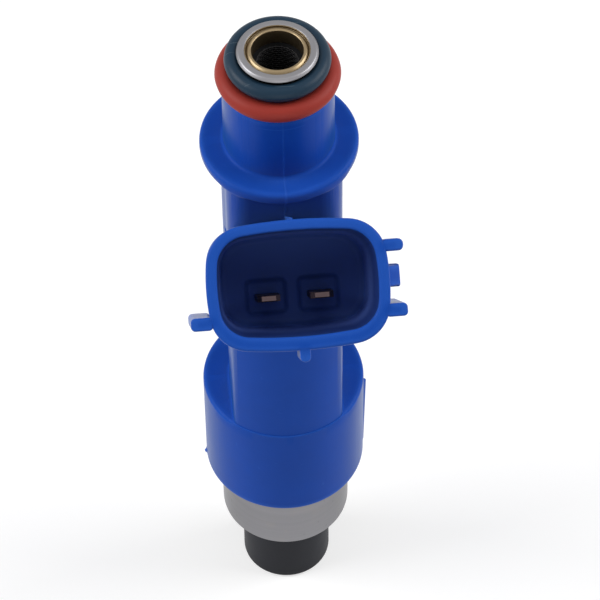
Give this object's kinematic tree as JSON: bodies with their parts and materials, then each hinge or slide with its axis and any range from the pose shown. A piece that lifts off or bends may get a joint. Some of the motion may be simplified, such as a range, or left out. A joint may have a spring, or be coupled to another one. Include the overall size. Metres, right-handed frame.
{
  "type": "fuel injector",
  "caption": "Top-feed petrol fuel injector: solenoid valve in a blue overmoulded body with an angled two-pin socket, O-ring inlet and steel spigot.",
  "frame": {"origin": "on the injector's axis, halfway along the seal land of the steel spigot that enters the manifold", "axes": "+Z along the injector's axis to the fuel inlet; the electrical connector faces -Y and upwards; +X completes the right-handed frame"},
  "size_m": [0.0212, 0.0353, 0.0865],
  "materials": {
    "blue_resin": "satin moulded nylon",
    "satin_steel": "satin, fine turning marks",
    "machined_steel": "ground",
    "polished_ball": "lapped",
    "spring_wire": "drawn wire",
    "teal_rubber": "smooth, slightly oily",
    "red_rubber": "smooth matt",
    "filter_brass": "satin",
    "filter_nylon": "moulded",
    "filter_weave": "woven nylon",
    "bobbin_nylon": "glass filled",
    "copper_wire": "enamelled",
    "coil_tape": "smooth film",
    "terminal_copper": "tinned copper alloy, worn",
    "black_plastic": "fine matt"
  },
  "bodies": {
    "injector": {"resin_body": "blue_resin", "inlet_tube": "satin_steel", "coil_housing": "satin_steel", "nonmagnetic_sleeve": "machined_steel", "valve_tube": "machined_steel", "fixed_core": "machined_steel", "flux_washer": "machined_steel", "adjuster_tube": "machined_steel", "seat_body": "machined_steel", "orifice_plate": "machined_steel", "plate_retainer": "machined_steel", "return_spring": "spring_wire", "inlet_o_ring": "teal_rubber", "spacer_ring": "red_rubber", "filter_ring": "filter_brass", "filter_frame": "filter_nylon", "filter_mesh": "filter_weave", "coil_bobbin": "bobbin_nylon", "coil_winding": "copper_wire", "coil_tape": "coil_tape", "terminal_left": "terminal_copper", "terminal_right": "terminal_copper", "nozzle_cap": "black_plastic"},
    "valve": {"armature": "machined_steel", "valve_needle": "machined_steel", "valve_ball": "polished_ball"}
  },
  "joints": [
    {"name": "valve_lift", "type": "slide", "parent": "injector", "child": "valve", "axis": [0, 0, 1], "range_m": [0, 0.00008], "stiffness_N_per_m": 300, "deforming": ["return_spring"]}
  ]
}
